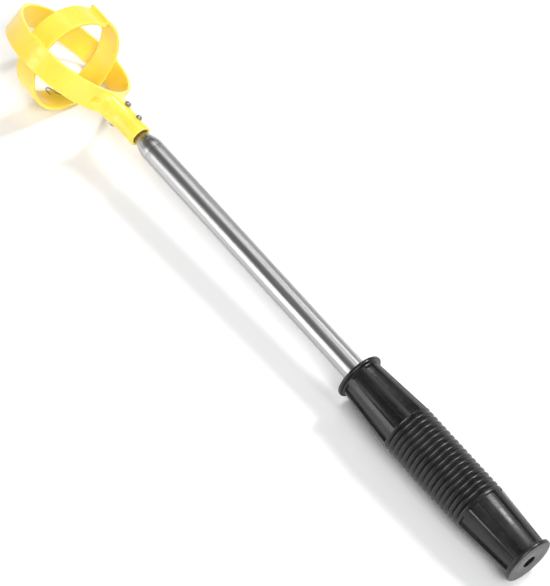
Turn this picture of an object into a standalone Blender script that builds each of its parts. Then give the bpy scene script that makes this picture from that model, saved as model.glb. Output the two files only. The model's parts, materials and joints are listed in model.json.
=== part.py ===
"""Telescopic golf ball retriever, closed.

+X runs along the shaft from the grip's butt to the tip of the head. The origin is the middle of the whole
length, on the shaft's axis. +Z is up, with the head rolled as it lies on a floor, on both of its hoops.
The head's own frame has x along the shaft, y towards the hoop's upper side and z along the outer hoop's axis.
"""

import math

import bmesh
import bpy
from mathutils import Matrix, Vector

# Head: two crossed hoops round the space for a ball.
HOOP_RADIUS = 0.0398
HOOP_WIDTH = 0.0153
HOOP_WALL = 0.0022
HOOP_EDGE = 0.0005
CROSS_INNER_END = 0.0297
CROSS_OUTER_END = 0.0325
CROSS_WIDTH = 0.0154
CROSS_WALL = 0.0022
CROSS_EDGE = 0.0005
CROSS_START = math.radians(99)
CROSS_LAP = math.radians(2)
CROSS_PLACE = 0.00035
CROSS_LEAN_UP = 0.0047
CROSS_LEAN_SIDE = 0.0035
CROSS_CREEP = 0.0010
PAD_HALF = 0.0050
HOOP_SEGMENTS = 64

# Neck and socket of the head. Their places are measured from the middle of the hoops.
SOCKET_WALL = 0.0017
SOCKET_DEPTH = 0.0120
SOCKET_MOUTH = HOOP_RADIUS + 0.0288
NECK_START = HOOP_RADIUS + 0.0167
NECK_WAIST = HOOP_RADIUS + 0.0118
FORK_END = HOOP_RADIUS + 0.0122
NECK_HALF_HEIGHT = 0.0135
NECK_WAIST_SWELL = 1.03
NECK_HEIGHT_AT_HOOP = 0.66
NECK_WIDTH_AT_HOOP = 0.48
NECK_WIDTH_IN_HOOP = 0.49
# The power of each neck section's outline: 1 is round, and less is squarer.
NECK_ROUNDNESS = (1.0, 1.0, 0.85, 0.6, 0.5)
FORK_GAP = 0.0024
FORK_GAP_AT_HOOP = 0.0032
FORK_FLOOR = 0.0048
FORK_ROOF = 0.0030
INSERT_RIM = 0.0004
INSERT_LENGTH = 0.0105

# Keeper: a sprung wire on a cross pin in the neck's fork.
PIN_PLACE = HOOP_RADIUS + 0.0092
PIN_RADIUS = 0.0012
PIN_LONG_REACH = 0.0025
PIN_SHORT_REACH = 0.0017
CAP_RADIUS = 0.0021
CAP_LENGTH = 0.0008
WIRE_RADIUS = 0.0004
WIRE_COIL_PITCH = 0.0010
WIRE_COIL_TURNS = 1
WIRE_TAIL = 0.0018
# The wire's arm, in (along, up, across) points. It leaves the neck either side of the hoop's wall.
WIRE_OUTSIDE = 0.004
WIRE_INSIDE = 0.002
WIRE_DIP = 1.2
WIRE_ARM = ((-0.0330, -0.0040, -0.0024), (-0.0270, -0.0060, -0.0080), (-0.0190, -0.0076, -0.0155))
# Near the cross hoop, the last number is the distance from its inner face.
WIRE_TIP = ((-0.0110, -0.0086, 0.0100), (-0.0055, -0.0088, 0.0064))
WIRE_HOOK = (-0.0035, -0.0043, 0.0052)
WIRE_HOOK_RADIUS = 0.0045
WIRE_HOOK_TURN = 205
WIRE_HOOK_STEPS = 8
SCREW_PLACE = HOOP_RADIUS + 0.0202
SCREW_HEAD_RADIUS = 0.0020
SCREW_HEAD_HEIGHT = 0.0016
SCREW_RADIUS = 0.0009
SCREW_EDGE_HEIGHT = 0.55
SCREW_TOP_WIDTH = 0.6

# Shaft: seven nested tubes.
TUBE_COUNT = 7
TUBE_RADIUS = 0.0071
TUBE_STEP = 0.000625
TUBE_WALL = 0.0003
TUBE_LENGTH = 0.2545
TUBE_STAGGER = 0.0012
TUBE_ROLL = 0.0002
LIP_LENGTH = 0.0015
FLARE_LENGTH = 0.0010
BEND_LENGTH = 0.0005
SLEEVE_LENGTH = 0.0200
SHAFT_SEGMENTS = 24

# Nose: the ferrule between the shaft and the socket.
NOSE_LENGTH = 0.0130
NOSE_TAPER = 0.0100
NOSE_CURVE = 1.15
NOSE_SPIGOT = 0.0024
NOSE_HOLD = 0.0070
NOSE_WALL = 0.00045
NOSE_TIP_WALL = 0.00085
STUD_RADIUS = 0.0028
STUD_LENGTH = 0.0075

# Grip, from the butt to its front flange.
GRIP_LENGTH = 0.1440
GRIP_BUTT_RADIUS = 0.0153
GRIP_BUTT_FLANGE = 0.0026
GRIP_FRONT_RADIUS = 0.0148
GRIP_FRONT_FLANGE = 0.0022
GRIP_BACK_NECK_RADIUS = 0.0133
GRIP_BACK_LENGTH = 0.0410
GRIP_FRONT_NECK_RADIUS = 0.0126
GRIP_FRONT_LENGTH = 0.0425
GRIP_MIDDLE_RADIUS = 0.0159
GRIP_RING_DEPTH = 0.0012
GRIP_RING_COUNT = 17
GRIP_RING_FLAT = 0.35
GRIP_RING_GROOVE = 0.65
GRIP_FLUTES = 8
GRIP_FLUTE_DEPTH = 0.0011
GRIP_FLUTE_WALL = 0.0008
GRIP_BUTT_WALL = 0.0060
GRIP_HOLE_RADIUS = 0.0040
GRIP_SEGMENTS = 32
PLUG_FLANGE = 0.0025
PLUG_LENGTH = 0.0120

# Clearances.
TOUCH_GAP = 0.0003
RUNNING_GAP = 0.00005
SEAM_GAP = 0.0002
OVERREACH = 0.002
NEARLY_ALL = 0.9

# The nose's tip clears the innermost tube, the insert clears the nose's tip, and the socket holds the insert.
NOSE_TIP_RADIUS = TUBE_RADIUS - TUBE_STEP * (TUBE_COUNT - 1) + NOSE_TIP_WALL
SOCKET_BORE = NOSE_TIP_RADIUS + TOUCH_GAP + INSERT_RIM + TOUCH_GAP
SOCKET_RADIUS = SOCKET_BORE + SOCKET_WALL
PIN_LONG_END = SOCKET_RADIUS + PIN_LONG_REACH
PIN_SHORT_END = SOCKET_RADIUS + PIN_SHORT_REACH

# Whole length: the shaft and grip behind the hoops' middle, and the hoop in front of it.
SHAFT_LENGTH = 0.3268
SHAFT_AND_GRIP = SOCKET_MOUTH + NOSE_LENGTH + SEAM_GAP + SHAFT_LENGTH
MIDDLE_TO_ORIGIN = (SHAFT_AND_GRIP - HOOP_RADIUS) / 2
BUTT_X = MIDDLE_TO_ORIGIN - SHAFT_AND_GRIP
SHAFT_MOUTH_X = MIDDLE_TO_ORIGIN - SOCKET_MOUTH - NOSE_LENGTH - SEAM_GAP

# The head lies on its cross hoop and on one rim of its outer hoop at once.
RIM_REACH = math.hypot(HOOP_RADIUS, HOOP_WIDTH / 2)
RIM_ANGLE = math.atan2(HOOP_WIDTH / 2, HOOP_RADIUS)
CROSS_REST_SHARE = 0.64
CROSS_REST = CROSS_INNER_END + (CROSS_OUTER_END - CROSS_INNER_END) * CROSS_REST_SHARE
HEAD_ROLL = math.asin(min(1, CROSS_REST / RIM_REACH)) - RIM_ANGLE


def material(name, colour, roughness, metallic=0.0):
    made = bpy.data.materials.new(name)
    made.use_nodes = True
    shader = made.node_tree.nodes["Principled BSDF"]
    shader.inputs["Base Color"].default_value = (*colour, 1)
    shader.inputs["Roughness"].default_value = roughness
    shader.inputs["Metallic"].default_value = metallic
    return made


def add_object(name, shape, finish, parent=None):
    """Makes the object of a finished bmesh, shaded smooth except at its edges."""
    bmesh.ops.remove_doubles(shape, verts=shape.verts, dist=1e-7)
    bmesh.ops.recalc_face_normals(shape, faces=shape.faces)
    mesh = bpy.data.meshes.new(name)
    shape.to_mesh(mesh)
    shape.free()
    mesh.shade_smooth()
    mesh.set_sharp_from_angle(angle=math.radians(35))
    mesh.materials.append(finish)
    made = bpy.data.objects.new(name, mesh)
    bpy.context.scene.collection.objects.link(made)
    made.parent = parent
    return made


def turned(profile, axis=(1, 0, 0), segments=SHAFT_SEGMENTS):
    """A solid turned about an axis. Each profile point is (place along the axis, radius)."""
    along = Vector(axis)
    out = Vector((0, 0, 1)) if axis[0] else Vector((1, 0, 0))
    shape = bmesh.new()
    points = [shape.verts.new(along * place + out * radius) for place, radius in profile]
    ends_on_axis = profile[0][1] == 0 and profile[-1][1] == 0
    pairs = list(zip(points, points[1:]))
    if not ends_on_axis:
        pairs.append((points[-1], points[0]))
    edges = [shape.edges.new(pair) for pair in pairs]
    bmesh.ops.spin(
        shape, geom=points + edges, cent=(0, 0, 0), axis=axis, angle=math.tau, steps=segments, use_merge=True
    )
    return shape


def cutter(name, shape, parent):
    """A helper solid that a Boolean takes away or adds."""
    made = add_object(name, shape, cut_finish, parent)
    made.hide_render = True
    made.display_type = "WIRE"
    return made


def combine(target, operation, other):
    step = target.modifiers.new(other.name, "BOOLEAN")
    step.operation = operation
    step.solver = "EXACT"
    step.object = other


def rod_across(low, high, radius, place, segments=16):
    """A round rod along the head's z axis, at one place along the shaft."""
    shape = turned([(low, 0), (low, radius), (high, radius), (high, 0)], axis=(0, 0, 1), segments=segments)
    bmesh.ops.translate(shape, verts=shape.verts, vec=(place, 0, 0))
    return shape


def band_section(radius, wall, width, edge):
    """The outline of a hoop's band: (place across the width, radius), its edges chamfered."""
    half = width / 2
    inner = radius - wall
    return [
        (half - edge, radius),
        (-half + edge, radius),
        (-half, radius - edge),
        (-half, inner + edge),
        (-half + edge, inner),
        (half - edge, inner),
        (half, inner + edge),
        (half, radius - edge),
    ]


def make_outer_hoop():
    """One moulding: hoop, forked neck and socket."""
    half = HOOP_WIDTH / 2
    disc = turned(
        [
            (-half, 0),
            (-half, HOOP_RADIUS - HOOP_EDGE),
            (-half + HOOP_EDGE, HOOP_RADIUS),
            (half - HOOP_EDGE, HOOP_RADIUS),
            (half, HOOP_RADIUS - HOOP_EDGE),
            (half, 0),
        ],
        axis=(0, 0, 1),
        segments=HOOP_SEGMENTS,
    )
    hoop = add_object("outer_hoop", disc, yellow_plastic, head)

    combine(hoop, "UNION", cutter("neck_form", neck_shape(), head))
    inside = HOOP_RADIUS - HOOP_WALL
    hollow = rod_across(-HOOP_WIDTH, HOOP_WIDTH, inside, 0, HOOP_SEGMENTS)
    # Half a facet of turn keeps the hollow's edges off the disc's, which the Boolean can't cut cleanly.
    half_facet = Matrix.Rotation(math.pi / HOOP_SEGMENTS, 3, "Z")
    bmesh.ops.rotate(hollow, verts=hollow.verts, cent=(0, 0, 0), matrix=half_facet)
    combine(hoop, "DIFFERENCE", cutter("hoop_hollow", hollow, head))
    combine(hoop, "DIFFERENCE", cutter("fork_gap", fork_shape(), head))
    bore_floor = -SOCKET_MOUTH + SOCKET_DEPTH
    bore = turned(
        [
            (-SOCKET_MOUTH - OVERREACH, 0),
            (-SOCKET_MOUTH - OVERREACH, SOCKET_BORE),
            (bore_floor, SOCKET_BORE),
            (bore_floor, 0),
        ]
    )
    combine(hoop, "DIFFERENCE", cutter("socket_bore", bore, head))
    pin_hole = rod_across(-HOOP_WIDTH, HOOP_WIDTH, PIN_RADIUS + RUNNING_GAP * 2, -PIN_PLACE)
    combine(hoop, "DIFFERENCE", cutter("pin_hole", pin_hole, head))
    screw_hole = rod_across(0, HOOP_WIDTH, SCREW_RADIUS + RUNNING_GAP * 2, -SCREW_PLACE)
    combine(hoop, "DIFFERENCE", cutter("screw_hole", screw_hole, head))


def neck_shape(points=SHAFT_SEGMENTS):
    """The socket and neck: round at the socket, as wide as the band and taller where it meets the hoop."""
    root = HOOP_RADIUS - HOOP_WALL
    waist = SOCKET_RADIUS * NECK_WAIST_SWELL
    sections = [
        (-SOCKET_MOUTH, SOCKET_RADIUS, SOCKET_RADIUS),
        (-NECK_START, SOCKET_RADIUS, SOCKET_RADIUS),
        (-NECK_WAIST, waist, waist),
        (-HOOP_RADIUS - HOOP_WALL, NECK_HALF_HEIGHT * NECK_HEIGHT_AT_HOOP, HOOP_WIDTH * NECK_WIDTH_AT_HOOP),
        (-root, NECK_HALF_HEIGHT, HOOP_WIDTH * NECK_WIDTH_IN_HOOP),
    ]
    shape = bmesh.new()
    rings = []
    for (place, half_height, half_width), roundness in zip(sections, NECK_ROUNDNESS):
        ring = []
        for index in range(points):
            angle = math.tau * (index + 0.5) / points
            across = math.copysign(abs(math.cos(angle)) ** roundness, math.cos(angle))
            up = math.copysign(abs(math.sin(angle)) ** roundness, math.sin(angle))
            ring.append(shape.verts.new((place, half_height * up, half_width * across)))
        rings.append([shape.edges.new((ring[i - 1], ring[i])) for i in range(points)])
        if place in (sections[0][0], sections[-1][0]):
            shape.faces.new(ring)
    for ring, following in zip(rings, rings[1:]):
        bmesh.ops.bridge_loops(shape, edges=ring + following)
    return shape


def fork_shape():
    """The gap of the fork: wider towards the hoop, open to the cage and closed above and below."""
    ends = [(-FORK_END, FORK_GAP / 2), (-HOOP_RADIUS + 3 * HOOP_WALL, FORK_GAP_AT_HOOP / 2)]
    shape = bmesh.new()
    bmesh.ops.create_cube(shape, size=2)
    for vert in shape.verts:
        place, half_gap = ends[vert.co.x > 0]
        height = FORK_ROOF if vert.co.y > 0 else -FORK_FLOOR
        vert.co = Vector((place, height, vert.co.z * half_gap))
    return shape


def cross_ring(share):
    """The cross hoop at a share of its turn: the angle, the place along the shaft and the outer radius.

    It winds from its inner end, over the upper side, to its outer end, which laps the inner one.
    """
    angle = CROSS_START - (math.tau + CROSS_LAP) * share
    lean = CROSS_LEAN_UP * math.cos(angle) + CROSS_LEAN_SIDE * math.sin(angle)
    radius = CROSS_INNER_END + (CROSS_OUTER_END - CROSS_INNER_END) * share
    return angle, CROSS_PLACE + CROSS_CREEP * share + lean, radius


def make_cross_hoop():
    """A split hoop inside the outer one, wound so that its ends lap."""
    steps = HOOP_SEGMENTS
    shape = bmesh.new()
    previous = None
    for step in range(steps + 1):
        angle, place, radius = cross_ring(step / steps)
        section = band_section(radius, CROSS_WALL, CROSS_WIDTH, CROSS_EDGE)
        across = Vector((0, math.cos(angle), math.sin(angle)))
        ring = [shape.verts.new((place + x, *(across * r).yz)) for x, r in section]
        edges = [shape.edges.new((ring[i - 1], ring[i])) for i in range(len(ring))]
        if step in (0, steps):
            shape.faces.new(ring)
        if previous:
            bmesh.ops.bridge_loops(shape, edges=previous + edges)
        previous = edges
    hoop = add_object("cross_hoop", shape, yellow_plastic, head)
    for side, name in ((1, "weld_pad_up"), (-1, "weld_pad_down")):
        combine(hoop, "UNION", cutter(name, pad_shape(side), head))


def pad_shape(side, points=6):
    """A pad on the cross hoop that meets the outer hoop's inner face, where the two are welded."""
    half_turn = 0 if side > 0 else math.pi
    share = (CROSS_START + half_turn) / (math.tau + CROSS_LAP)
    _, place, radius = cross_ring(share)
    low = radius - CROSS_WALL / 2
    face = (HOOP_RADIUS - HOOP_WALL) * math.cos(math.pi / HOOP_SEGMENTS) - TOUCH_GAP
    outline = [(place - PAD_HALF, low), (place + PAD_HALF, low)]
    for point in range(points + 1):
        x = place + PAD_HALF - 2 * PAD_HALF * point / points
        outline.append((x, math.sqrt(face**2 - x**2)))
    shape = bmesh.new()
    ring = [shape.verts.new((x, side * y, -PAD_HALF)) for x, y in outline]
    made = bmesh.ops.extrude_face_region(shape, geom=[shape.faces.new(ring)])
    raised = [item for item in made["geom"] if isinstance(item, bmesh.types.BMVert)]
    bmesh.ops.translate(shape, verts=raised, vec=(0, 0, 2 * PAD_HALF))
    return shape


def wire_route():
    """The keeper wire's centre line: a tail, the coil round the pin, then the arm and its hook in the cage."""
    coil = PIN_RADIUS + TOUCH_GAP + WIRE_RADIUS
    steps = 12 * WIRE_COIL_TURNS
    half_coil = WIRE_COIL_PITCH * WIRE_COIL_TURNS / 2
    route = [Vector((-PIN_PLACE - WIRE_TAIL, -coil, half_coil))]
    for step in range(steps + 1):
        angle = -math.pi / 2 + math.tau * WIRE_COIL_TURNS * step / steps
        along = half_coil - 2 * half_coil * step / steps
        route.append(Vector((-PIN_PLACE + coil * math.cos(angle), coil * math.sin(angle), along)))
    guard = (CROSS_INNER_END + CROSS_OUTER_END) / 2 - CROSS_WALL
    arm = [
        (-HOOP_RADIUS - WIRE_OUTSIDE, -coil, -half_coil),
        (-HOOP_RADIUS + WIRE_INSIDE, -coil * WIRE_DIP, -half_coil),
        *WIRE_ARM,
        *[(along, up, across - guard) for along, up, across in WIRE_TIP],
    ]
    route += [Vector(point) for point in arm]
    for step in range(1, WIRE_HOOK_STEPS + 1):
        angle = math.radians(-90 + WIRE_HOOK_TURN * step / WIRE_HOOK_STEPS)
        route.append(
            Vector(
                (
                    WIRE_HOOK[0] + WIRE_HOOK_RADIUS * math.cos(angle),
                    WIRE_HOOK[1] + WIRE_HOOK_RADIUS * math.sin(angle),
                    WIRE_HOOK[2] - guard,
                )
            )
        )
    return route


def make_keeper():
    pin = rod_across(-PIN_SHORT_END, PIN_LONG_END, PIN_RADIUS, -PIN_PLACE)
    add_object("keeper_pin", pin, steel, head)
    for name, side, end in (("pin_cap_left", -1, PIN_SHORT_END), ("pin_cap_right", 1, PIN_LONG_END)):
        inner = PIN_RADIUS + RUNNING_GAP * 2
        outer_end = side * (end - 2 * TOUCH_GAP)
        inner_end = outer_end - side * CAP_LENGTH
        ring = [(inner_end, inner), (outer_end, inner), (outer_end, CAP_RADIUS), (inner_end, CAP_RADIUS)]
        shape = turned(ring, axis=(0, 0, 1), segments=16)
        bmesh.ops.translate(shape, verts=shape.verts, vec=(-PIN_PLACE, 0, 0))
        add_object(name, shape, steel, head)

    curve = bpy.data.curves.new("keeper_wire", "CURVE")
    curve.dimensions = "3D"
    curve.bevel_depth = WIRE_RADIUS
    curve.bevel_resolution = 1
    curve.use_fill_caps = True
    route = wire_route()
    pivot = Vector((-PIN_PLACE, 0, 0))
    spline = curve.splines.new("POLY")
    spline.points.add(len(route) - 1)
    for point, place in zip(spline.points, route):
        point.co = (*(place - pivot), 1)
    curve.materials.append(steel)
    wire = bpy.data.objects.new("keeper_wire", curve)
    bpy.context.scene.collection.objects.link(wire)
    wire.parent = head
    wire.location = pivot

    foot = SOCKET_BORE - RUNNING_GAP
    seat = SOCKET_RADIUS + RUNNING_GAP
    top = seat + SCREW_HEAD_HEIGHT
    profile = [
        (foot, 0),
        (foot, SCREW_RADIUS),
        (seat, SCREW_RADIUS),
        (seat, SCREW_HEAD_RADIUS),
        (seat + SCREW_HEAD_HEIGHT * SCREW_EDGE_HEIGHT, SCREW_HEAD_RADIUS),
        (top, SCREW_HEAD_RADIUS * SCREW_TOP_WIDTH),
        (top, 0),
    ]
    screw = turned(profile, axis=(0, 0, 1), segments=16)
    bmesh.ops.translate(screw, verts=screw.verts, vec=(-SCREW_PLACE, 0, 0))
    add_object("socket_screw", screw, steel, head)


def make_nose():
    """The bullet-shaped ferrule, hollow behind for the tubes' mouths, with its stud in front."""
    base = SHAFT_MOUTH_X + SEAM_GAP
    mouth = base + NOSE_LENGTH
    outer = [(base, TUBE_RADIUS)]
    steps = 8
    for step in range(steps + 1):
        share = step / steps
        radius = NOSE_TIP_RADIUS + (TUBE_RADIUS - NOSE_TIP_RADIUS) * (1 - share**NOSE_CURVE)
        outer.append((mouth - NOSE_TAPER * (1 - share), radius))
    spigot_end = mouth + NOSE_SPIGOT
    spigot = NOSE_TIP_RADIUS - RUNNING_GAP * 4
    front = [
        (mouth, spigot),
        (spigot_end, spigot),
        (spigot_end, STUD_RADIUS),
        (spigot_end + STUD_LENGTH, STUD_RADIUS),
        (spigot_end + STUD_LENGTH, 0),
    ]
    tube = tube_radius(TUBE_COUNT) + RUNNING_GAP * 2
    cavity_end = SHAFT_MOUTH_X + TUBE_STAGGER * (TUBE_COUNT - 1) + TOUCH_GAP
    hold_end = tube_front(TUBE_COUNT) + TOUCH_GAP
    hollow = [(hold_end, 0), (hold_end, tube), (cavity_end, tube)]
    inner = [(place, radius - NOSE_WALL) for place, radius in outer if place < cavity_end]
    shape = turned(hollow + [(cavity_end, inner[-1][1])] + inner[::-1] + outer + front)
    add_object("nose", shape, polished_steel)


def make_insert():
    """The brass lining of the socket: wide at its mouth for the nose, then close round the stud."""
    outside = SOCKET_BORE - TOUCH_GAP
    front = -SOCKET_MOUTH + TOUCH_GAP * 3
    step = -SOCKET_MOUTH + NOSE_SPIGOT + TOUCH_GAP
    end = front + INSERT_LENGTH
    wide = NOSE_TIP_RADIUS + TOUCH_GAP
    narrow = STUD_RADIUS + RUNNING_GAP * 2
    ring = [(front, wide), (front, outside), (end, outside), (end, narrow), (step, narrow), (step, wide)]
    add_object("socket_insert", turned(ring), brass, head)


def tube_radius(number):
    return TUBE_RADIUS - TUBE_STEP * (number - 1)


def tube_foot(number):
    return SHAFT_MOUTH_X + TUBE_STAGGER * (number - 1) - TUBE_LENGTH


def tube_front(number):
    reach = NOSE_HOLD if number == TUBE_COUNT else 0
    return SHAFT_MOUTH_X + TUBE_STAGGER * (number - 1) + reach


def make_tubes():
    for number in range(1, TUBE_COUNT + 1):
        radius = tube_radius(number)
        front = tube_front(number)
        if number == 1:
            # The outermost tube runs back through the grip, and a rolled groove stops the next tube's foot.
            foot = BUTT_X + GRIP_BUTT_WALL + PLUG_FLANGE + 2 * TOUCH_GAP
            stop = tube_foot(2) - 2 * BEND_LENGTH - TOUCH_GAP
            path = [(foot, 0), (stop - BEND_LENGTH, 0), (stop, -TUBE_ROLL), (stop + BEND_LENGTH, 0)]
        else:
            foot = tube_foot(number)
            flare_end = foot + FLARE_LENGTH
            path = [(foot, TUBE_ROLL), (flare_end - BEND_LENGTH, TUBE_ROLL), (flare_end, 0)]
        if number < TUBE_COUNT:
            lip = front - LIP_LENGTH
            path += [(lip - BEND_LENGTH, 0), (lip, -TUBE_ROLL), (front, -TUBE_ROLL)]
        else:
            path += [(front, 0)]
        outer = [(place, radius + offset) for place, offset in path]
        inner = [(place, radius - TUBE_WALL + offset) for place, offset in path]
        add_object(f"tube_{number}", turned(outer + inner[::-1]), polished_steel)


def make_sleeves():
    for number in range(2, TUBE_COUNT + 1):
        start = tube_foot(number) + FLARE_LENGTH + RUNNING_GAP
        end = start + SLEEVE_LENGTH
        inner = tube_radius(number) + RUNNING_GAP
        outer = tube_radius(number - 1) - TUBE_WALL - RUNNING_GAP
        ring = [(start, inner), (end, inner), (end, outer), (start, outer)]
        add_object(f"sleeve_{number}", turned(ring), white_plastic)


def grip_profile():
    """The grip's outer line from the butt to the front flange, and the places where its fluted parts start."""
    back_start = BUTT_X + GRIP_BUTT_FLANGE
    rings_start = BUTT_X + GRIP_BACK_LENGTH
    rings_end = BUTT_X + GRIP_LENGTH - GRIP_FRONT_LENGTH
    front_end = BUTT_X + GRIP_LENGTH - GRIP_FRONT_FLANGE
    pitch = (rings_end - rings_start) / GRIP_RING_COUNT
    line = [
        (BUTT_X, GRIP_BUTT_RADIUS),
        (back_start, GRIP_BUTT_RADIUS),
        (back_start, GRIP_BACK_NECK_RADIUS),
        (rings_start, GRIP_MIDDLE_RADIUS),
    ]
    for ring in range(GRIP_RING_COUNT):
        start = rings_start + ring * pitch
        line.append((start + pitch * GRIP_RING_FLAT, GRIP_MIDDLE_RADIUS))
        line.append((start + pitch * GRIP_RING_GROOVE, GRIP_MIDDLE_RADIUS - GRIP_RING_DEPTH))
        line.append((start + pitch, GRIP_MIDDLE_RADIUS))
    line += [
        (front_end, GRIP_FRONT_NECK_RADIUS),
        (front_end, GRIP_FRONT_RADIUS),
        (BUTT_X + GRIP_LENGTH, GRIP_FRONT_RADIUS),
    ]
    return line, ((back_start, rings_start), (rings_end, front_end))


def make_grip():
    line, fluted = grip_profile()
    bore = TUBE_RADIUS + TOUCH_GAP
    inner = [
        (BUTT_X + GRIP_LENGTH, bore),
        (BUTT_X + GRIP_BUTT_WALL, bore),
        (BUTT_X + GRIP_BUTT_WALL, GRIP_HOLE_RADIUS),
        (BUTT_X, GRIP_HOLE_RADIUS),
    ]
    shape = turned(line + inner, segments=GRIP_SEGMENTS)
    bmesh.ops.remove_doubles(shape, verts=shape.verts, dist=1e-7)
    bmesh.ops.recalc_face_normals(shape, faces=shape.faces)
    per_flute = GRIP_SEGMENTS // GRIP_FLUTES
    thinnest = min(GRIP_BACK_NECK_RADIUS, GRIP_FRONT_NECK_RADIUS) * NEARLY_ALL
    for start, end in fluted:
        panels = {}
        for face in shape.faces:
            centre = face.calc_center_median()
            places = [vert.co.x for vert in face.verts]
            long_enough = max(places) - min(places) > (end - start) * NEARLY_ALL
            if not (start < centre.x < end and long_enough and math.hypot(centre.y, centre.z) > thinnest):
                continue
            index = int(math.floor(math.atan2(centre.z, centre.y) % math.tau / math.tau * GRIP_SEGMENTS))
            if index % per_flute:
                panels.setdefault(index // per_flute, []).append(face)
        for panel in panels.values():
            bmesh.ops.inset_region(
                shape,
                faces=panel,
                thickness=GRIP_FLUTE_WALL,
                depth=-GRIP_FLUTE_DEPTH,
                use_boundary=True,
                use_even_offset=True,
            )
    add_object("grip", shape, black_rubber)


def make_end_plug():
    start = BUTT_X + GRIP_BUTT_WALL + TOUCH_GAP
    flange_end = start + PLUG_FLANGE
    spigot = TUBE_RADIUS - TUBE_WALL - 2 * RUNNING_GAP
    profile = [
        (start, 0),
        (start, TUBE_RADIUS - TOUCH_GAP),
        (flange_end, TUBE_RADIUS - TOUCH_GAP),
        (flange_end, spigot),
        (flange_end + PLUG_LENGTH, spigot),
        (flange_end + PLUG_LENGTH, 0),
    ]
    add_object("end_plug", turned(profile), dark_plastic)


for old in list(bpy.data.objects):
    bpy.data.objects.remove(old, do_unlink=True)

yellow_plastic = material("yellow plastic", (0.93, 0.66, 0.04), 0.30)
black_rubber = material("black rubber", (0.022, 0.022, 0.023), 0.62)
polished_steel = material("polished stainless steel", (0.72, 0.72, 0.73), 0.16, 1.0)
steel = material("spring steel", (0.32, 0.31, 0.30), 0.35, 1.0)
brass = material("brass", (0.72, 0.46, 0.16), 0.32, 1.0)
white_plastic = material("white nylon", (0.75, 0.74, 0.70), 0.5)
dark_plastic = material("dark nylon", (0.05, 0.05, 0.052), 0.55)
cut_finish = material("helper", (0.8, 0.1, 0.1), 0.5)

head = bpy.data.objects.new("head_frame", None)
bpy.context.scene.collection.objects.link(head)
head.location = (MIDDLE_TO_ORIGIN, 0, 0)
head.rotation_euler = (HEAD_ROLL, 0, 0)

make_grip()
make_end_plug()
make_tubes()
make_sleeves()
make_nose()
make_insert()
make_outer_hoop()
make_cross_hoop()
make_keeper()
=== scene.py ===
import json
import math

import bmesh
import bpy
from mathutils import Matrix, Vector


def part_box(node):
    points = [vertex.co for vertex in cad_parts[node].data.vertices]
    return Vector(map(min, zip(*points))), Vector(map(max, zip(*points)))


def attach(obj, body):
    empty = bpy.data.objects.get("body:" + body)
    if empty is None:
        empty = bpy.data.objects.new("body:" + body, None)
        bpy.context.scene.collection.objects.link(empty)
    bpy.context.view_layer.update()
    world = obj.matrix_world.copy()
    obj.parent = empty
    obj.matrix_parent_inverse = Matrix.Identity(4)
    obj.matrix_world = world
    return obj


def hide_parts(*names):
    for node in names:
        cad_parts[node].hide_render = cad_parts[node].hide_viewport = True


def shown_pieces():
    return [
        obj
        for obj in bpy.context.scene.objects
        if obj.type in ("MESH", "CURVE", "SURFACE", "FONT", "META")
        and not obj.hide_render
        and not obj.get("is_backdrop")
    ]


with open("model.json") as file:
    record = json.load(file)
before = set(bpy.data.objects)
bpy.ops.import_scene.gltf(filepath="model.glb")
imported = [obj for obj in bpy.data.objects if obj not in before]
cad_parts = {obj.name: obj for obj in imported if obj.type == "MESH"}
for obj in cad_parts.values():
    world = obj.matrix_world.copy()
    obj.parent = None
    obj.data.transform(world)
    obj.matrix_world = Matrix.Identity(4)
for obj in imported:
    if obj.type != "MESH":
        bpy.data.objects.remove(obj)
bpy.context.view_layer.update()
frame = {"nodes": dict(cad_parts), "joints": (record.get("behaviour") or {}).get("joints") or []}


# Grip: one moulding of black rubber pushed over the outermost tube, with a flange at each end. Its outline
# is spun about the shaft's axis, then the flutes are inset and their lips bevelled. It holds by its own grip.


class Value:
    """A shader socket that can be used in sums: each operator adds one Math node."""

    def __init__(self, finish, socket):
        self.finish = finish
        self.socket = socket

    def __add__(self, other):
        return self.finish.maths("ADD", self, other)

    __radd__ = __add__

    def __sub__(self, other):
        return self.finish.maths("SUBTRACT", self, other)

    def __rsub__(self, other):
        return self.finish.maths("SUBTRACT", other, self)

    def __mul__(self, other):
        return self.finish.maths("MULTIPLY", self, other)

    __rmul__ = __mul__

    def __truediv__(self, other):
        return self.finish.maths("DIVIDE", self, other)

    def __rtruediv__(self, other):
        return self.finish.maths("DIVIDE", other, self)

    def __pow__(self, other):
        return self.finish.maths("POWER", self, other)

    def eased(self, low, high):
        """0 below one value, 1 above the other, and a smooth rise between them."""
        return self.finish.node(
            "ShaderNodeMapRange",
            {"interpolation_type": "SMOOTHSTEP"},
            {"Value": self, "From Min": low, "From Max": high},
        )


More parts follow.
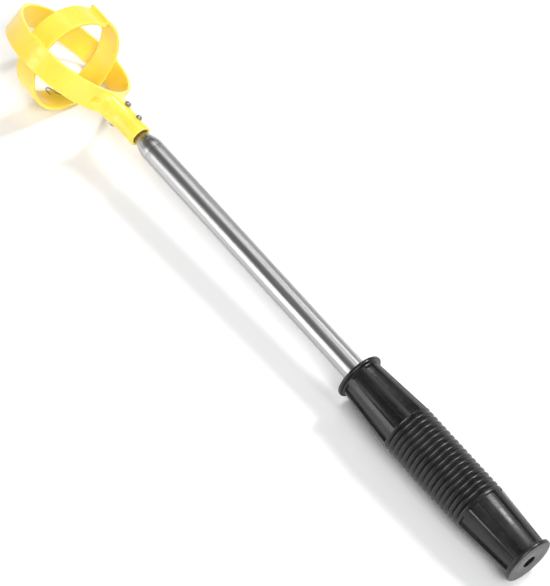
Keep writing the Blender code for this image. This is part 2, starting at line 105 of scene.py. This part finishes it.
class Finish:
    """One material: a Principled shader, and the nodes that vary it over the surface."""

    def __init__(self, name, constants):
        self.material = bpy.data.materials.new(name)
        self.material.use_nodes = True
        self.tree = self.material.node_tree
        self.shader = self.tree.nodes["Principled BSDF"]
        self.wire(self.shader, constants)
        self.place = self.node("ShaderNodeTexCoord", {}, {}, "Object")
        self.x, self.y, self.z = (
            self.node("ShaderNodeSeparateXYZ", {}, {0: self.place}, axis) for axis in "XYZ"
        )

    def wire(self, node, sockets):
        for key, value in sockets.items():
            if isinstance(value, Value):
                self.tree.links.new(value.socket, node.inputs[key])
            else:
                node.inputs[key].default_value = value

    def node(self, kind, settings, sockets, output=0):
        """Adds a node with these settings, socket values and links, and gives one of its outputs."""
        made = self.tree.nodes.new(kind)
        for setting, value in settings.items():
            setattr(made, setting, value)
        self.wire(made, sockets)
        return Value(self, made.outputs[output])

    def maths(self, operation, first, second):
        return self.node("ShaderNodeMath", {"operation": operation}, {0: first, 1: second})

    def mix(self, share, first, second):
        return self.node("ShaderNodeMix", {"data_type": "RGBA"}, {0: share, 6: first, 7: second}, 2)

    def noise(self, scale, detail=3.0, stretch=(1, 1, 1), place=None):
        """Noise of about 0 to 1 with this many lumps to the metre, stretched along each axis."""
        stretched = self.node(
            "ShaderNodeVectorMath", {"operation": "MULTIPLY"}, {0: place or self.place, 1: stretch}
        )
        return self.node("ShaderNodeTexNoise", {}, {"Vector": stretched, "Scale": scale, "Detail": detail})

    def around(self):
        """A place that follows the shaft's length and girth, with no seam: x and the unit circle."""
        girth = (self.y * self.y + self.z * self.z) ** 0.5 + 1e-6
        return self.node("ShaderNodeCombineXYZ", {}, {0: self.x, 1: self.y / girth, 2: self.z / girth})

    def bump(self, height, depth, strength=1.0):
        """Raises and sinks the surface by this height, as far as the depth in metres."""
        sockets = {"Strength": strength, "Distance": depth, "Height": height}
        self.wire(self.shader, {"Normal": self.node("ShaderNodeBump", {}, sockets)})


def softened(corners, steps=4):
    """The outline through these (place, radius, rounding) corners, with each corner rounded."""
    outline = []
    for index, (place, radius, rounding) in enumerate(corners):
        here = Vector((place, radius))
        if not rounding:
            outline.append((place, radius))
            continue
        before = Vector(corners[index - 1][:2]) - here
        after = Vector(corners[(index + 1) % len(corners)][:2]) - here
        start = here + before.normalized() * min(rounding, before.length * 0.45)
        end = here + after.normalized() * min(rounding, after.length * 0.45)
        for step in range(steps + 1):
            share = step / steps
            point = start.lerp(here, share).lerp(here.lerp(end, share), share)
            outline.append((point.x, point.y))
    return outline


def spun(outline, steps=96, axis=(1, 0, 0)):
    """A solid spun about an axis from (place, radius) points."""
    along = Vector(axis)
    out = Vector((0, 0, 1)) if axis[0] else Vector((1, 0, 0))
    shape = bmesh.new()
    points = [shape.verts.new(along * place + out * radius) for place, radius in outline]
    pairs = list(zip(points, points[1:]))
    if outline[0][1] > 0:
        pairs.append((points[-1], points[0]))
    edges = [shape.edges.new(pair) for pair in pairs]
    bmesh.ops.spin(
        shape, geom=points + edges, cent=(0, 0, 0), axis=axis, angle=math.tau, steps=steps, use_merge=True
    )
    bmesh.ops.remove_doubles(shape, verts=shape.verts, dist=1e-6)
    bmesh.ops.recalc_face_normals(shape, faces=shape.faces)
    return shape


def add_piece(name, shape, finish, body, nodes, place=None):
    """Makes a finished shape a piece that rides on its body and stands for its CAD nodes."""
    bmesh.ops.remove_doubles(shape, verts=shape.verts, dist=1e-6)
    bmesh.ops.recalc_face_normals(shape, faces=shape.faces)
    if place:
        shape.transform(place)
    mesh = bpy.data.meshes.new(name)
    shape.to_mesh(mesh)
    shape.free()
    mesh.shade_smooth()
    mesh.set_sharp_from_angle(angle=math.radians(50))
    mesh.materials.append(finish.material)
    made = bpy.data.objects.new(name, mesh)
    bpy.context.scene.collection.objects.link(made)
    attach(made, body)
    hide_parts(*nodes)
    return made


rubber = Finish("black rubber", {"Specular IOR Level": 0.5})
pebble = rubber.node("ShaderNodeTexVoronoi", {}, {"Vector": rubber.place, "Scale": 1500.0})
handled = rubber.noise(55, 4).eased(0.35, 0.7)
dust = rubber.noise(420, 5).eased(0.5, 0.78)
clean_black, dusty_black = (0.0065, 0.0065, 0.007, 1), (0.020, 0.020, 0.020, 1)
rubber.wire(
    rubber.shader,
    {
        "Base Color": rubber.mix(dust * 0.5 + handled * 0.3, clean_black, dusty_black),
        "Roughness": 0.27 + handled * 0.12 + dust * 0.12,
    },
)
rubber.bump(pebble * 0.5 + rubber.noise(2600, 2) * 0.5, 0.00006, 0.4)

butt, grip_front = (corner.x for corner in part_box("grip"))
back_neck, rings_start = butt + 0.0026, butt + 0.0410
rings_end, front_neck = grip_front - 0.0425, grip_front - 0.0022
bore_end = butt + 0.0060
grip_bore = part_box("tube_1")[1].z + 0.0003
butt_radius, front_radius, hole_radius = 0.0153, 0.0148, 0.0040
back_neck_radius, front_neck_radius, ring_radius = 0.0133, 0.0126, 0.0159
ring_count, ring_steps = 17, 8
groove_depth, groove_middle, groove_reach = 0.00125, 0.6, 0.38
flute_pitch, flute_reach, flute_middle = 45, 13.5, 8.5
least_outside_radius = 0.011


def taper(place, start, end, first, last):
    """The radius at a place on a cone from one radius to another."""
    return first + (last - first) * (place - start) / (end - start)


ring_pitch = (rings_end - rings_start) / ring_count
rings = []
for ring in range(ring_count):
    for step in range(ring_steps):
        share = (step + 1) / ring_steps
        closeness = max(0, 1 - abs(share - groove_middle) / groove_reach)
        groove = groove_depth * math.sin(closeness * math.pi / 2) ** 2
        rings.append((rings_start + (ring + share) * ring_pitch, ring_radius - groove, 0))
flute_ends = [(back_neck + 0.0012, rings_start - 0.0009), (rings_end + 0.0009, front_neck - 0.0012)]
back_flute = [(x, taper(x, back_neck, rings_start, back_neck_radius, ring_radius), 0) for x in flute_ends[0]]
front_flute = [(x, taper(x, rings_end, front_neck, ring_radius, front_neck_radius), 0) for x in flute_ends[1]]
corners = [
    (butt, hole_radius, 0.0004),
    (butt, butt_radius, 0.0011),
    (back_neck, butt_radius, 0.0008),
    (back_neck, back_neck_radius, 0.0009),
    *back_flute,
    (rings_start, ring_radius, 0),
    *rings,
    *front_flute,
    (front_neck, front_neck_radius, 0.0009),
    (front_neck, front_radius, 0.0008),
    (grip_front, front_radius, 0.0009),
    (grip_front, grip_bore, 0.0004),
    (bore_end, grip_bore, 0),
    (bore_end, hole_radius, 0),
]
grip = spun(softened(corners), 160)
panels = []
for face in grip.faces:
    middle = face.calc_center_median()
    places = [corner.co.x for corner in face.verts]
    in_flute = any(
        abs(min(places) - low) < 1e-5 and abs(max(places) - high) < 1e-5 for low, high in flute_ends
    )
    half_pitch = flute_pitch / 2
    turn = math.degrees(math.atan2(middle.z, middle.y)) - flute_middle
    from_recess = (turn + half_pitch) % flute_pitch - half_pitch
    outside = math.hypot(middle.y, middle.z) > least_outside_radius
    if in_flute and outside and abs(from_recess) < flute_reach:
        panels.append(face)
bmesh.ops.inset_region(
    grip, faces=panels, thickness=0.0005, depth=-0.0014, use_boundary=True, use_even_offset=True
)
lips = [
    edge
    for edge in grip.edges
    if edge.is_manifold
    and edge.calc_face_angle() > math.radians(25)
    and any(low - 0.001 < edge.verts[0].co.x < high + 0.001 for low, high in flute_ends)
    and math.hypot(*edge.verts[0].co.yz) > least_outside_radius
]
bmesh.ops.bevel(
    grip, geom=lips, offset=0.0005, segments=3, profile=0.5, affect="EDGES", material=-1, clamp_overlap=True
)
add_piece("grip_moulding", grip, rubber, "handle", ["grip"])


# End plug: dark nylon, pressed into the back of the outermost tube and seen through the hole in the butt.
# The CAD's own solid is kept and only given its finish.

dark_nylon = Finish("dark nylon", {"Specular IOR Level": 0.4})
grain = dark_nylon.noise(900, 4)
dark_nylon.wire(
    dark_nylon.shader,
    {
        "Base Color": dark_nylon.mix(grain, (0.030, 0.030, 0.032, 1), (0.062, 0.060, 0.058, 1)),
        "Roughness": 0.45 + grain * 0.2,
    },
)
dark_nylon.bump(grain, 0.00005)
plug = frame["nodes"]["end_plug"]
plug.data.materials.clear()
plug.data.materials.append(dark_nylon.material)


# Tubes: seven thin stainless sections, bright polished, each spun with its mouth rolled in to stop the next
# one and its foot flared out. They slide in one another on their sleeves.

stainless = Finish("polished stainless steel", {"Metallic": 1.0, "Specular IOR Level": 0.5})
girth = stainless.around()
drawn = stainless.noise(9, 5, (0.9, 1, 1), girth)
fine = stainless.noise(46, 4, (0.7, 1, 1), girth)
haze = stainless.noise(70, 3, (0.35, 1, 1))
specks = stainless.noise(1400, 2).eased(0.66, 0.76)
stainless.wire(
    stainless.shader,
    {
        "Base Color": stainless.mix(
            drawn.eased(0.3, 0.7) * 0.6 + fine * 0.4, (0.30, 0.30, 0.305, 1), (0.62, 0.62, 0.615, 1)
        ),
        "Roughness": 0.25 + fine.eased(0.35, 0.7) * 0.10 + haze * 0.06 + specks * 0.10,
    },
)
stainless.bump(fine + drawn * 0.6, 0.00002, 0.5)

tube_bodies = ["handle", "section_2", "section_3", "section_4", "section_5", "section_6", "head"]
shaft_radius, tube_step, tube_wall, tube_roll = 0.0071, 0.000625, 0.0003, 0.0002
for number, body in enumerate(tube_bodies, 1):
    node = f"tube_{number}"
    foot, mouth = (corner.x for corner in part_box(node))
    radius = shaft_radius - tube_step * (number - 1)
    if number == 1:
        path = [(foot, 0, 0)]
        rolled = -0.00006
    else:
        path = [(foot, tube_roll, 0), (foot + 0.0006, tube_roll, 0.0003), (foot + 0.0011, 0, 0.0003)]
        rolled = -tube_roll
    if number < len(tube_bodies):
        path += [(mouth - 0.0020, 0, 0.0004), (mouth - 0.0014, rolled, 0.0004), (mouth, rolled, 0.00006)]
    else:
        path += [(mouth, 0, 0)]
    outside = [(place, radius + offset, rounding) for place, offset, rounding in path]
    inside = [(place, radius - tube_wall + offset, rounding) for place, offset, rounding in path[::-1]]
    tube = spun(softened(outside + inside))
    add_piece(f"section_tube_{number}", tube, stainless, body, [node])


# Sleeves: white nylon friction sleeves on the feet of the sliding tubes, inside the tube before. The CAD's
# own solids are kept and only given their finish.

white_nylon = Finish("white nylon", {"Specular IOR Level": 0.45, "Subsurface Weight": 0.08})
rubbed = white_nylon.noise(260, 4, (0.3, 1, 1))
white_nylon.wire(
    white_nylon.shader,
    {
        "Base Color": white_nylon.mix(rubbed, (0.80, 0.79, 0.74, 1), (0.66, 0.65, 0.60, 1)),
        "Roughness": 0.38 + rubbed * 0.2,
    },
)
white_nylon.bump(rubbed, 0.00004)
for number in range(2, 8):
    sleeve = frame["nodes"][f"sleeve_{number}"]
    sleeve.data.materials.clear()
    sleeve.data.materials.append(white_nylon.material)


# Nose: a polished ferrule spun from one bar, closed round the innermost tube behind and rounded down to the
# socket in front. Its stud screws into the insert.

nose_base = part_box("nose")[0].x
stud_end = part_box("nose")[1].x
seam = 0.00012
tube_bore, spigot_radius, stud_radius = 0.00335 + 0.0001, 0.0040, 0.0028
tube_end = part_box("tube_7")[1].x + 0.0003
lips_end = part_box("tube_6")[1].x + 0.0015
nose_length, spigot_length = 0.0130, 0.0024
shell = [
    (-seam, 0.0071),
    (0.0003, 0.0071),
    (0.0030, 0.0071),
    (0.0045, 0.00685),
    (0.0058, 0.00655),
    (0.0078, 0.00595),
    (0.0096, 0.00535),
    (0.0112, 0.0048),
    (0.0123, 0.00445),
    (nose_length, 0.0042),
]
nose_mouth = nose_base + nose_length
spigot_end = nose_mouth + spigot_length
outline = [
    (tube_end, 0, 0),
    (tube_end, tube_bore, 0),
    (lips_end, tube_bore, 0),
    (lips_end, 0.0062, 0),
    (nose_base - seam, 0.00665, 0),
    *[(nose_base + place, radius, 0.0008 if 0 < place < nose_length else 0) for place, radius in shell],
    (nose_mouth, spigot_radius, 0),
    (spigot_end, spigot_radius, 0),
    (spigot_end, stud_radius, 0),
    (stud_end, stud_radius, 0.0004),
    (stud_end, 0, 0),
]
add_piece("nose_ferrule", spun(softened(outline), 128), stainless, "head", ["nose"])


# Socket insert: turned brass, moulded into the socket. Only its mouth shows round the nose.

brass = Finish("brass", {"Metallic": 1.0})
turning = brass.noise(2400, 2, (1, 0.05, 0.05))
tarnish = brass.noise(300, 5).eased(0.45, 0.7)
brass.wire(
    brass.shader,
    {
        "Base Color": brass.mix(tarnish, (0.80, 0.56, 0.22, 1), (0.48, 0.30, 0.11, 1)),
        "Roughness": 0.22 + turning * 0.12 + tarnish * 0.18,
    },
)
brass.bump(turning, 0.00003)
insert_low, insert_high = (corner.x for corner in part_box("socket_insert"))
insert_step = insert_low + 0.0018
insert_radius, insert_mouth, insert_bore = 0.0049, 0.0045, 0.0029
insert = [
    (insert_low, insert_mouth, 0.0001),
    (insert_low, insert_radius, 0.0001),
    (insert_high, insert_radius, 0.0003),
    (insert_high, insert_bore, 0.0002),
    (insert_step, insert_bore, 0.0002),
    (insert_step, insert_mouth, 0),
]
add_piece("brass_insert", spun(softened(insert)), brass, "head", ["socket_insert"])


# Outer hoop: one yellow moulding of hoop, neck and socket. The solids are joined and cut with
# Booleans, then remeshed finely and smoothed, which rounds the edges and fillets as a mould does.

swing = next(joint for joint in frame["joints"] if joint["name"] == "keeper_swing")
head_roll = math.atan2(-swing["axis"][1], swing["axis"][2])
hoop_radius = 0.0398
hoop_half = 0.00765
hoop_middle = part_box("outer_hoop")[1].x - hoop_radius
pin_place = swing["pos_m"][0] - hoop_middle
head_place = Matrix.Translation((hoop_middle, 0, 0)) @ Matrix.Rotation(head_roll, 4, "X")

plastic = Finish(
    "yellow plastic",
    {
        "Specular IOR Level": 0.5,
        "Subsurface Weight": 0.5,
        "Subsurface Radius": (0.0060, 0.0020, 0.0003),
        "Subsurface Scale": 1.0,
        "Coat Roughness": 0.25,
    },
)
flow = plastic.noise(38, 4, (0.6, 1, 1.5))
mottle = plastic.noise(240, 4)
scuff = plastic.noise(150, 5, (0.25, 1.2, 1)).eased(0.60, 0.72)
plastic.wire(
    plastic.shader,
    {
        "Base Color": plastic.mix(
            flow.eased(0.3, 0.7) * 0.6 + mottle * 0.4, (0.97, 0.66, 0.055, 1), (0.99, 0.74, 0.095, 1)
        ),
        "Roughness": 0.25 + mottle * 0.08 + scuff * 0.18,
        "Coat Weight": 0.35 - scuff * 0.2,
    },
)
plastic.bump(mottle * 0.5 + flow, 0.00012, 0.5)


def add_form(name, shape, target=None, operation="UNION"):
    """Makes a helper solid, and joins it to or cuts it from the target."""
    bmesh.ops.remove_doubles(shape, verts=shape.verts, dist=1e-6)
    bmesh.ops.recalc_face_normals(shape, faces=shape.faces)
    mesh = bpy.data.meshes.new(name)
    shape.to_mesh(mesh)
    shape.free()
    made = bpy.data.objects.new(name, mesh)
    bpy.context.scene.collection.objects.link(made)
    if target:
        step = target.modifiers.new(name, "BOOLEAN")
        step.operation, step.solver, step.object = operation, "EXACT", made
    return made


def moulded(forms, grain=0.00042, passes=7):
    """The first form with its Booleans done, remeshed and smoothed, as a bmesh. The forms are used up."""
    remesh = forms[0].modifiers.new("remesh", "REMESH")
    remesh.mode, remesh.voxel_size = "VOXEL", grain
    smooth = forms[0].modifiers.new("smooth", "SMOOTH")
    smooth.factor, smooth.iterations = 0.5, passes
    shape = bmesh.new()
    shape.from_object(forms[0], bpy.context.evaluated_depsgraph_get())
    for form in forms:
        bpy.data.objects.remove(form, do_unlink=True)
    return shape


def lofted(sections, points=64):
    """A solid through superellipse sections across x: (place, half height, half width, power)."""
    shape = bmesh.new()
    before = None
    for place, half_height, half_width, power in sections:
        ring = []
        for index in range(points):
            angle = math.tau * index / points
            across = math.copysign(abs(math.cos(angle)) ** power, math.cos(angle))
            up = math.copysign(abs(math.sin(angle)) ** power, math.sin(angle))
            ring.append(shape.verts.new((place, half_height * up, half_width * across)))
        edges = [shape.edges.new((ring[index - 1], ring[index])) for index in range(points)]
        if before:
            bmesh.ops.bridge_loops(shape, edges=before + edges)
        if place in (sections[0][0], sections[-1][0]):
            shape.faces.new(ring)
        before = edges
    return shape


def slab(outline, low, high):
    """A solid of an (x, up) outline between two places across the head."""
    shape = bmesh.new()
    face = shape.faces.new([shape.verts.new((x, up, low)) for x, up in outline])
    made = bmesh.ops.extrude_face_region(shape, geom=[face])
    raised = [item for item in made["geom"] if isinstance(item, bmesh.types.BMVert)]
    bmesh.ops.translate(shape, verts=raised, vec=(0, 0, high - low))
    return shape


hoop_wall = 0.0022
hoop_inside = hoop_radius - hoop_wall
across = (0, 0, 1)
overshoot = 0.02
socket_mouth, socket_radius, socket_bore, socket_depth = 0.0686, 0.0069, 0.0052, 0.0120
outline = [(-hoop_half, 0), (-hoop_half, hoop_radius), (hoop_half, hoop_radius), (hoop_half, 0)]
hoop = add_form("hoop_disc", spun(outline, 192, across))
neck = lofted(
    [
        (-socket_mouth, socket_radius, socket_radius, 1.0),
        (-0.0575, socket_radius, socket_radius, 1.0),
        (-0.0545, 0.00695, 0.0070, 0.96),
        (-0.0516, 0.0071, 0.0071, 0.86),
        (-0.0480, 0.0077, 0.00725, 0.74),
        (-0.0445, 0.0084, 0.0073, 0.64),
        (-0.0420, 0.0092, 0.00735, 0.60),
        (-0.0400, 0.0106, 0.0075, 0.55),
        (-hoop_inside, 0.0135, 0.0075, 0.50),
    ]
)
outline = [(-overshoot, 0), (-overshoot, hoop_inside), (overshoot, hoop_inside), (overshoot, 0)]
hollow = spun(outline, 180, across)

# The keeper's gap opens to the cage and widens towards it. A shallow groove runs down the top of the neck.
widening_from = -0.040
fork_end, fork_start, fork_roof, fork_floor = -0.0520, -0.0330, 0.0030, -0.0048
outline = [(fork_end, fork_roof), (fork_end, 0.0), (-0.0505, fork_floor)]
fork = slab(outline + [(fork_start, fork_floor), (fork_start, fork_roof)], -1, 1)
for corner in fork.verts:
    corner.co.z *= 0.0012 if corner.co.x < widening_from else 0.0016
groove = slab([(-0.0365, 0.0114), (-0.0365, 0.0200), (-0.0510, 0.0160), (-0.0510, 0.0066)], -1, 1)
for corner in groove.verts:
    bottom = corner.co.y < 0.0115
    if corner.co.x < widening_from:
        corner.co.z *= 0.0003 if bottom else 0.0034
    else:
        corner.co.z *= 0.0008 if bottom else 0.0044
bore_floor = -socket_mouth + socket_depth
bore = spun([(-0.08, 0), (-0.08, socket_bore), (bore_floor, socket_bore), (bore_floor, 0)], 96)
hole_size = 0.0013
outline = [(-overshoot, 0), (-overshoot, hole_size), (overshoot, hole_size), (overshoot, 0)]
pin_hole = spun(outline, 32, across)
bmesh.ops.translate(pin_hole, verts=pin_hole.verts, vec=(pin_place, 0, 0))
forms = [hoop]
for name, shape, operation in (
    ("neck", neck, "UNION"),
    ("hollow", hollow, "DIFFERENCE"),
    ("fork", fork, "DIFFERENCE"),
    ("groove", groove, "DIFFERENCE"),
    ("bore", bore, "DIFFERENCE"),
    ("pin_hole", pin_hole, "DIFFERENCE"),
):
    forms.append(add_form(name, shape, hoop, operation))
add_piece("hoop_moulding", moulded(forms), plastic, "head", ["outer_hoop"], head_place)


# Cross hoop: a split band of the same plastic, set crosswise inside the outer hoop and welded to it by a
# pad above and below. It is swept round its winding line, then remeshed with its pads and smoothed.

cross_start = math.radians(99)
cross_turn = math.tau + math.radians(2)
cross_half, cross_wall, cross_steps = 0.0077, 0.0022, 192
inner_end, end_growth, creep = 0.0297, 0.0028, 0.0010
cross_place, lean_up, lean_side = 0.00035, 0.0047, 0.0035
pad_half, pad_face, pad_steps = 0.005, 0.0371, 8


def cross_ring(share):
    """The band at a share of its turn: the angle, the place along the shaft and the outer radius."""
    angle = cross_start - cross_turn * share
    lean = lean_up * math.cos(angle) + lean_side * math.sin(angle)
    return angle, cross_place + creep * share + lean, inner_end + end_growth * share


band = bmesh.new()
last = None
for step in range(cross_steps + 1):
    angle, place, radius = cross_ring(step / cross_steps)
    inside = radius - cross_wall
    section = [(cross_half, radius), (-cross_half, radius), (-cross_half, inside), (cross_half, inside)]
    ring = [band.verts.new((place + x, math.cos(angle) * r, math.sin(angle) * r)) for x, r in section]
    edges = [band.edges.new((ring[index - 1], ring[index])) for index in range(len(ring))]
    if step in (0, cross_steps):
        band.faces.new(ring)
    if last:
        bmesh.ops.bridge_loops(band, edges=last + edges)
    last = edges
cross = add_form("band", band)
forms = [cross]
for side, name in ((1, "pad_up"), (-1, "pad_down")):
    half_turn = 0 if side > 0 else math.pi
    _, place, radius = cross_ring((cross_start + half_turn) / cross_turn)
    foot = side * (radius - cross_wall / 2)
    outline = [(place - pad_half, foot), (place + pad_half, foot)]
    for step in range(pad_steps + 1):
        x = place + pad_half - 2 * pad_half * step / pad_steps
        outline.append((x, side * math.sqrt(pad_face**2 - x * x)))
    forms.append(add_form(name, slab(outline, -pad_half, pad_half), cross))
add_piece("cross_band", moulded(forms), plastic, "head", ["cross_hoop"], head_place)


# Keeper: a steel cross pin through the neck, its two push-on caps, and a sprung wire coiled round the pin
# that reaches into the cage. The wire is bent along its route and swings on the pin.

spring_steel = Finish("spring steel", {"Metallic": 1.0})
worn = spring_steel.noise(500, 4)
spring_steel.wire(
    spring_steel.shader,
    {
        "Base Color": spring_steel.mix(worn, (0.26, 0.25, 0.24, 1), (0.46, 0.45, 0.43, 1)),
        "Roughness": 0.24 + worn * 0.18,
    },
)
spring_steel.bump(worn, 0.00003)
pin_at = head_place @ Matrix.Translation((pin_place, 0, 0))
pin_radius, short_end, long_end = 0.0012, 0.0086, 0.0094
pin_round = 0.0006
outline = [
    (-short_end, 0, 0),
    (-short_end, pin_radius, pin_round),
    (long_end, pin_radius, pin_round),
    (long_end, 0, 0),
]
pin = spun(softened(outline), 48, across)
add_piece("cross_pin", pin, spring_steel, "head", ["keeper_pin"], pin_at)
cap_hole, cap_radius, cap_length, cap_setback = 0.0013, 0.0021, 0.0008, 0.0006
for node, side, end in (("pin_cap_left", -1, short_end), ("pin_cap_right", 1, long_end)):
    outer_face, inner_face = side * (end - cap_setback), side * (end - cap_setback - cap_length)
    cap = [
        (inner_face, cap_hole, 0),
        (outer_face, cap_hole, 0.0001),
        (outer_face, cap_radius, 0.0004),
        (inner_face, cap_radius, 0),
    ]
    washer = spun(softened(cap), 64, across)
    add_piece(f"{node}_washer", washer, spring_steel, "head", [node], pin_at)

wire_radius, coil_half, coil_steps = 0.0004, 0.0005, 24
coil = pin_radius + 0.0003 + wire_radius
guard = (inner_end + 0.0325) / 2 - cross_wall
route = [(pin_place - 0.0018, -coil, coil_half)]
for step in range(coil_steps + 1):
    angle = -math.pi / 2 + math.tau * step / coil_steps
    along = coil_half - 2 * coil_half * step / coil_steps
    route.append((pin_place + coil * math.cos(angle), coil * math.sin(angle), along))
route += [
    (-0.0438, -coil, -coil_half),
    (-0.0378, -coil * 1.2, -coil_half),
    (-0.0330, -0.0040, -0.0024),
    (-0.0270, -0.0060, -0.0080),
    (-0.0190, -0.0076, -0.0155),
    (-0.0110, -0.0086, 0.0100 - guard),
    (-0.0055, -0.0088, 0.0064 - guard),
]
hook_x, hook_up, hook_radius, hook_steps = -0.0035, -0.0043, 0.0045, 16
for step in range(1, hook_steps + 1):
    angle = math.radians(-90 + 205 * step / hook_steps)
    hook = (hook_x + hook_radius * math.cos(angle), hook_up + hook_radius * math.sin(angle))
    route.append((*hook, 0.0052 - guard))
curve = bpy.data.curves.new("wire_route", "CURVE")
curve.dimensions = "3D"
curve.bevel_depth = wire_radius
curve.bevel_resolution = 4
curve.use_fill_caps = True
spline = curve.splines.new("POLY")
spline.points.add(len(route) - 1)
for point, place in zip(spline.points, route):
    point.co = (*place, 1)
path = bpy.data.objects.new("wire_route", curve)
bpy.context.scene.collection.objects.link(path)
bent = path.evaluated_get(bpy.context.evaluated_depsgraph_get())
wire = bmesh.new()
wire.from_mesh(bpy.data.meshes.new_from_object(bent))
bpy.data.objects.remove(path, do_unlink=True)
add_piece("sprung_wire", wire, spring_steel, "keeper", ["keeper_wire"], head_place)


# Socket screw: a small pan-headed steel screw in the side of the socket, which locks the head on its stud.

screw_place = -(hoop_radius + 0.0202)
seat = socket_radius + 0.00005
shank_radius, screw_radius = 0.0009, 0.0020
screw = [
    (seat - 0.0017, 0, 0),
    (seat - 0.0017, shank_radius, 0.0001),
    (seat, shank_radius, 0),
    (seat, screw_radius, 0.0002),
    (seat + 0.0008, screw_radius, 0.0006),
    (seat + 0.0016, 0.0012, 0.0005),
    (seat + 0.0016, 0, 0),
]
screw_form = add_form("screw", spun(softened(screw), 48, across))
slot_shapes = []
slot_half, slot_gap, recess_floor = 0.0011, 0.0002, seat + 0.0008
for turn in (20, 110):
    ends = [(-slot_half, -slot_gap), (slot_half, -slot_gap), (slot_half, slot_gap), (-slot_half, slot_gap)]
    shape = slab(ends, recess_floor, overshoot)
    bmesh.ops.rotate(
        shape, verts=shape.verts, cent=(0, 0, 0), matrix=Matrix.Rotation(math.radians(turn), 3, "Z")
    )
    slot_shapes.append(add_form(f"recess_{turn}", shape, screw_form, "DIFFERENCE"))
cut_screw = bmesh.new()
cut_screw.from_object(screw_form, bpy.context.evaluated_depsgraph_get())
for form in [screw_form, *slot_shapes]:
    bpy.data.objects.remove(form, do_unlink=True)
screw_at = head_place @ Matrix.Translation((screw_place, 0, 0))
add_piece("pan_screw", cut_screw, spring_steel, "head", ["socket_screw"], screw_at)


# Floor and light: a pale floor just under the lowest points, tilted to touch the cage and the butt, with
# one broad light in front, a smaller one that throws the shadow, and two strips that the steel mirrors.

pale = Finish("pale floor", {"Specular IOR Level": 0.2})
patch = pale.noise(3, 4)
pale_colour = pale.mix(patch, (0.86, 0.86, 0.86, 1), (0.90, 0.90, 0.90, 1))
pale.wire(pale.shader, {"Base Color": pale_colour, "Roughness": 0.7 + patch * 0.1})
slope, floor_gap = -0.0392, 0.0002
heights = (vertex.co.z - slope * vertex.co.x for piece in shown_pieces() for vertex in piece.data.vertices)
lowest = min(heights, default=0)
ground = bmesh.new()
bmesh.ops.create_grid(ground, x_segments=8, y_segments=8, size=12)
for corner in ground.verts:
    corner.co.z = lowest - floor_gap + slope * corner.co.x
floor_mesh = bpy.data.meshes.new("floor")
ground.to_mesh(floor_mesh)
ground.free()
floor_mesh.materials.append(pale.material)
floor = bpy.data.objects.new("floor", floor_mesh)
bpy.context.scene.collection.objects.link(floor)
floor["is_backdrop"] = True


def softbox(name, towards, distance, width, length, power):
    """An area light in this direction from the object, facing it."""
    lamp = bpy.data.lights.new(name, "AREA")
    lamp.shape, lamp.size, lamp.size_y, lamp.energy = "RECTANGLE", width, length, power
    box = bpy.data.objects.new(name, lamp)
    bpy.context.scene.collection.objects.link(box)
    direction = Vector(towards).normalized()
    box.location = direction * distance
    box.rotation_euler = direction.to_track_quat("Z", "Y").to_euler()


def sunlight(name, towards, strength, softness):
    """A light as even as a large diffuser's, from this direction; its softness is its width in degrees."""
    lamp = bpy.data.lights.new(name, "SUN")
    lamp.energy, lamp.angle = strength, math.radians(softness)
    source = bpy.data.objects.new(name, lamp)
    bpy.context.scene.collection.objects.link(source)
    source.rotation_euler = Vector(towards).to_track_quat("Z", "Y").to_euler()


sunlight("key", (-0.55, 0.25, 0.80), 2.6, 34)
sunlight("side", (0.08, -0.63, 0.78), 1.8, 14)
softbox("low_strip", (0.36, 0.89, 0.22), 1.4, 0.26, 0.9, 4)
softbox("high_strip", (0.36, -0.24, 0.90), 1.5, 0.30, 0.9, 2.0)

world = bpy.data.worlds.new("studio")
world.use_nodes = True
sky = world.node_tree
background = sky.nodes["Background"]
spot = sky.nodes.new("ShaderNodeTexCoord")
split = sky.nodes.new("ShaderNodeSeparateXYZ")
rise = sky.nodes.new("ShaderNodeMapRange")
rise.inputs["From Min"].default_value = 0.10
rise.inputs["From Max"].default_value = 0.28
rise.inputs["To Min"].default_value = 0.90
rise.inputs["To Max"].default_value = 0.14
rise.interpolation_type = "SMOOTHSTEP"
sky.links.new(spot.outputs["Generated"], split.inputs[0])
sky.links.new(split.outputs["Z"], rise.inputs["Value"])
sky.links.new(rise.outputs[0], background.inputs["Color"])
bpy.context.scene.world = world
bpy.context.scene.view_settings.view_transform = "Standard"


# Camera: a long lens from above and behind the grip, turned as the object is looked at.

lens = bpy.data.cameras.new("camera")
lens.lens, lens.sensor_width = 199.04, 36
camera = bpy.data.objects.new("camera", lens)
bpy.context.scene.collection.objects.link(camera)
right, up, back = (-0.6285, -0.7620, 0.1557), (0.6884, -0.4518, 0.5674), (-0.3620, 0.4638, 0.8086)
turned = Matrix((right, up, back)).transposed().to_4x4()
camera.matrix_world = Matrix.Translation((-0.6687, 0.8456, 1.4672)) @ turned
lens.clip_start, lens.clip_end = 0.05, 60
bpy.context.scene.camera = camera
